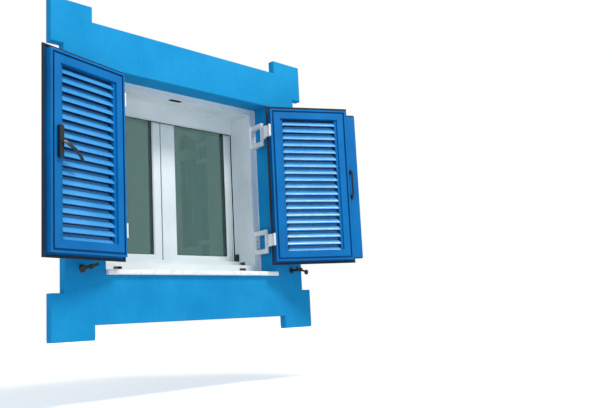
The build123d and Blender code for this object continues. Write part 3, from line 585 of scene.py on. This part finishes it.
def bristles(shape):
    """Two rows of tapered tufts under the pull bar."""
    count = int((bar_high.x - bar_low.x - 2 * STRIP_END) / TUFT_STEP)
    middle = (bar_low.y + bar_high.y) / 2
    for k in range(count):
        x = bar_low.x + STRIP_END + k * TUFT_STEP
        for row in (-1, 1):
            y = middle + row * ROW_OFFSET
            lean = Vector((wobble((x * 90, row, 0)), wobble((x * 70, row, 5)), 0)) * LEAN
            top = [shape.verts.new((x + dx * TUFT_HALF, y + dy * TUFT_HALF, bar_low.z + STRIP_SINK))
                   for dx, dy in ((-1, -1), (1, -1), (1, 1), (-1, 1))]
            tip = shape.verts.new(Vector((x, y, bar_low.z - BRISTLE)) + lean)
            for a, b in zip(top, top[1:] + top[:1]):
                shape.faces.new((a, b, tip))
            shape.faces.new(top)


piece("pull_bar_bristles", bristles, rubber_black, "screen_bar")

# %% [markdown]
# ## Sealant
# Where the white frame meets the painted reveal there is a bead of sealant, smoothed with a
# finger. It is a hollow quarter round swept round the corner, and its width wanders slightly.

# %% Sealant bead
REVEAL_TOP, SEALANT_SIDE_SHIFT = 592 * MM, 1 * MM
BEAD_STEPS, BEAD_ARC_STEPS = 60, 4
BEAD_WIDTH, BEAD_WANDER, BEAD_WANDER_SCALE = 4.5, 1.2, 25
SMEAR_MM, SMEAR_DEPTH = 9, 0.3
sealant, tree, surface, place = start("white_sealant", Base_Color=linear("#dcdfe0"), Roughness=0.45)
bumped(tree, surface, [(grain(tree, place, SMEAR_MM, 2.0, 0.5, (1, 1, 0.4)), SMEAR_DEPTH)])


def bead(shape):
    """A hollow quarter round up one reveal, across the top and down the other."""
    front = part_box("shutter_frame_head")[0].y
    side, top, bottom = sill_high.x + SEALANT_SIDE_SHIFT, REVEAL_TOP, sill_high.z
    path = [(-side, bottom), (-side, top), (side, top), (side, bottom)]
    points = [(x0 + (x1 - x0) * k / BEAD_STEPS, z0 + (z1 - z0) * k / BEAD_STEPS)
              for (x0, z0), (x1, z1) in zip(path, path[1:]) for k in range(BEAD_STEPS)]
    previous = None
    for x, z in points + path[-1:]:
        wander = wobble((x * BEAD_WANDER_SCALE, z * BEAD_WANDER_SCALE, 0))
        size = (BEAD_WIDTH + BEAD_WANDER * wander) * MM
        inward_x = -1 if x >= side - WELD else (1 if x <= -side + WELD else 0)
        inward_z = -1 if z >= top - WELD else 0
        ring = []
        for step in range(BEAD_ARC_STEPS + 1):
            angle = step / BEAD_ARC_STEPS * pi / 2
            away, depth = size * (1 - sin(angle)), size * (1 - cos(angle))
            ring.append(shape.verts.new((x + inward_x * away, front - depth, z + inward_z * away)))
        ring.append(shape.verts.new((x, front, z)))
        if previous:
            for a in range(len(ring)):
                b = (a + 1) % len(ring)
                shape.faces.new((previous[a], previous[b], ring[b], ring[a]))
        previous = ring


piece("reveal_sealant", bead, sealant, "frame", smooth=True)

# %% [markdown]
# ## Floor, light and camera
# The backdrop is white by its own colour and not by strong lamps, so the paints keep the colour
# they are given. The floor keeps the shadow near the window and glows white further out, which
# hides its far edge. One broad lamp stands high in front, as the sun does on such a wall, and the
# world fills the shade.

# %% Floor and world
FLOOR_DROP, FLOOR_HALF = 0.35, 30
GLOW_START, GLOW_END = 2.0, 7.0
GLOW_NEAR, GLOW_FAR = 0.35, 1.0
SKY_STRENGTH = 0.62
WHITE = (1, 1, 1, 1)


def seen_directly(tree):
    """One where the eye looks straight or through glass, and zero for light that bounces."""
    rays = add(tree, "LightPath").outputs
    return maths(tree, "MAXIMUM", rays["Is Camera Ray"], rays["Is Transmission Ray"])


floor_paint, tree, surface, place = start("studio_floor", Base_Color=linear("#f4f5f6"),
                                          Roughness=0.9, Emission_Color=WHITE)
away = add(tree, "VectorMath", {0: place}, operation="LENGTH").outputs["Value"]
glow = spread(tree, away, GLOW_START, GLOW_END, GLOW_NEAR, GLOW_FAR)
tree.links.new(maths(tree, "MULTIPLY", seen_directly(tree), glow), surface.inputs["Emission Strength"])

floor_z = cad_low.z - FLOOR_DROP
shape = bmesh.new()
shape.faces.new([shape.verts.new((x * FLOOR_HALF, y * FLOOR_HALF, floor_z))
                 for x, y in ((-1, -1), (1, -1), (1, 1), (-1, 1))])
floor_mesh = finished(shape, "studio_floor")
floor_mesh.materials.append(floor_paint)
floor = bpy.data.objects.new("studio_floor", floor_mesh)
bpy.context.scene.collection.objects.link(floor)
floor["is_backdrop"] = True

world = bpy.data.worlds.new("studio")
bpy.context.scene.world = world
world.use_nodes = True
tree = world.node_tree
tree.nodes.clear()
sky = add(tree, "Background", inputs={"Color": linear("#e4f0fa"), "Strength": SKY_STRENGTH})
white = add(tree, "Background", inputs={"Color": WHITE, "Strength": 1.0})
backdrop = add(tree, "MixShader", {0: seen_directly(tree), 1: sky.outputs[0], 2: white.outputs[0]})
add(tree, "OutputWorld", {"Surface": backdrop.outputs[0]})
print("floor at", round(floor_z, 3))

# %% Lamps


def lamp(name, where, target, size, power, colour):
    """A square lamp aimed at a point."""
    data = bpy.data.lights.new(name, "AREA")
    data.size, data.energy, data.color = size, power, linear(colour)[:3]
    made = bpy.data.objects.new(name, data)
    made.location = where
    made.rotation_euler = (Vector(target) - Vector(where)).to_track_quat("-Z", "Y").to_euler()
    bpy.context.scene.collection.objects.link(made)


lamp("key", (0.6, -4.4, 5.0), (0, 0, -0.2), size=1.6, power=330, colour="#fff8ee")
lamp("fill", (-4.5, -3.0, 1.2), (0, 0, 0), size=3.0, power=50, colour="#eef4ff")
print("lamps:", [light.name for light in bpy.data.lights])

# %% Camera
FOCAL_PX, YAW, PITCH, ROLL = 752.72, radians(47.340), radians(8.596), radians(-3.040)
CAMERA_AT = Vector((-2.9251, -3.6521, -0.8711))
IMAGE_WIDTH, SENSOR, FAR_CLIP = 612, 36.0, 200
camera_data = bpy.data.cameras.new("camera")
camera_data.sensor_width = SENSOR
camera_data.lens = FOCAL_PX / IMAGE_WIDTH * SENSOR
camera_data.clip_end = FAR_CLIP
camera = bpy.data.objects.new("camera", camera_data)
bpy.context.scene.collection.objects.link(camera)
ahead = Vector((sin(YAW) * cos(PITCH), cos(YAW) * cos(PITCH), sin(PITCH)))
level = Vector((cos(YAW), -sin(YAW), 0))
upward = level.cross(ahead)
right_of = level * cos(ROLL) + upward * sin(ROLL)
up_of = upward * cos(ROLL) - level * sin(ROLL)
aim = Matrix((right_of, up_of, -ahead)).transposed().to_4x4()
camera.matrix_world = Matrix.Translation(CAMERA_AT) @ aim
bpy.context.scene.camera = camera
bpy.context.scene.view_settings.view_transform = "Standard"
print("lens:", round(camera_data.lens, 2), "mm")

# %% The boxes of the whole scene
low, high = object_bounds()
